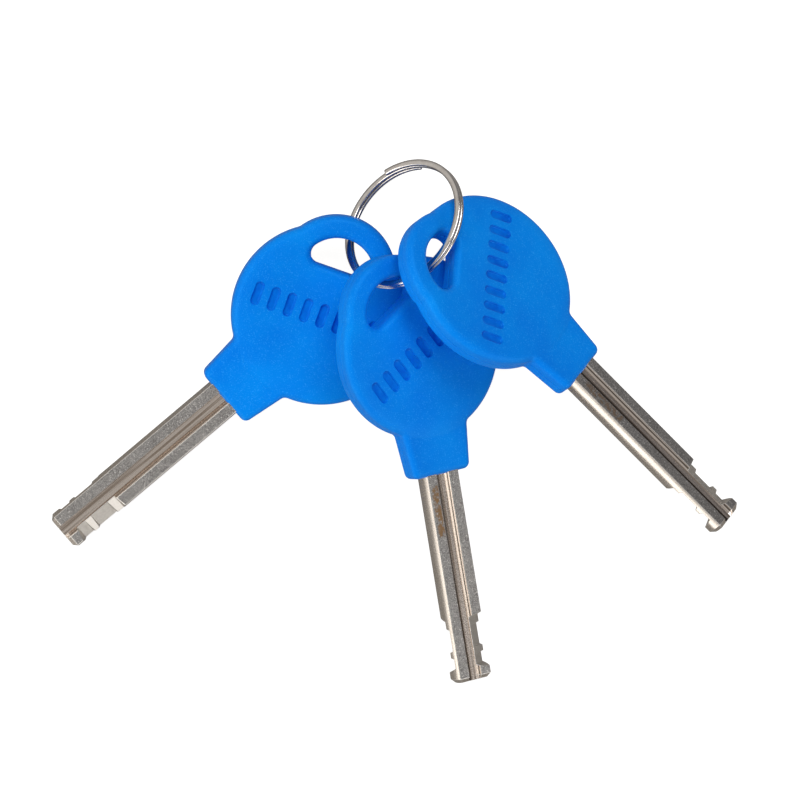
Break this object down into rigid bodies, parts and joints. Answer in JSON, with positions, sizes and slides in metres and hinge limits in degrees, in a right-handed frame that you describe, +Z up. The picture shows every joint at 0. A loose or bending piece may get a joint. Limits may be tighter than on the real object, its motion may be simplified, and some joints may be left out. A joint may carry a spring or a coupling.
{
  "type": "set of lock keys on a split ring",
  "caption": "Flat steel keys with over-moulded plastic bows, threaded on a coiled wire ring and fanned out on a surface, for opening a disc brake lock.",
  "frame": {"origin": "on the surface the set lies on, under the middle of the set's box", "axes": "+Z up from that surface, +X along the set's longest extent from the left key's tip to the right key's tip, +Y from the middle key's tip towards the ring"},
  "size_m": [0.1232, 0.0942, 0.0239],
  "materials": {
    "bow_plastic": "satin moulded blue plastic with a fine grain",
    "blade_steel": "sintered steel, grainy on the flats and smooth in the cuts",
    "ring_nickel": "polished nickel-plated spring wire"
  },
  "bodies": {
    "ring": {"split_ring": "ring_nickel"},
    "left_key": {"left_key_bow": "bow_plastic", "left_key_blade": "blade_steel"},
    "middle_key": {"middle_key_bow": "bow_plastic", "middle_key_blade": "blade_steel"},
    "right_key": {"right_key_bow": "bow_plastic", "right_key_blade": "blade_steel"}
  },
  "joints": [
    {"name": "middle_key_slide_round", "type": "hinge", "parent": "ring", "child": "middle_key", "pos_m": [0.00175, 0.03525, 0.00944], "axis": [-0.5496, 0.4038, 0.7314], "continuous": true},
    {"name": "left_key_spread", "type": "hinge", "parent": "middle_key", "child": "left_key", "pos_m": [0.00175, 0.03525, 0.00944], "axis": [-0.5496, 0.4038, 0.7314], "range_deg": [-60, 5]},
    {"name": "right_key_spread", "type": "hinge", "parent": "middle_key", "child": "right_key", "pos_m": [0.00175, 0.03525, 0.00944], "axis": [-0.5496, 0.4038, 0.7314], "range_deg": [-8, 70]}
  ]
}
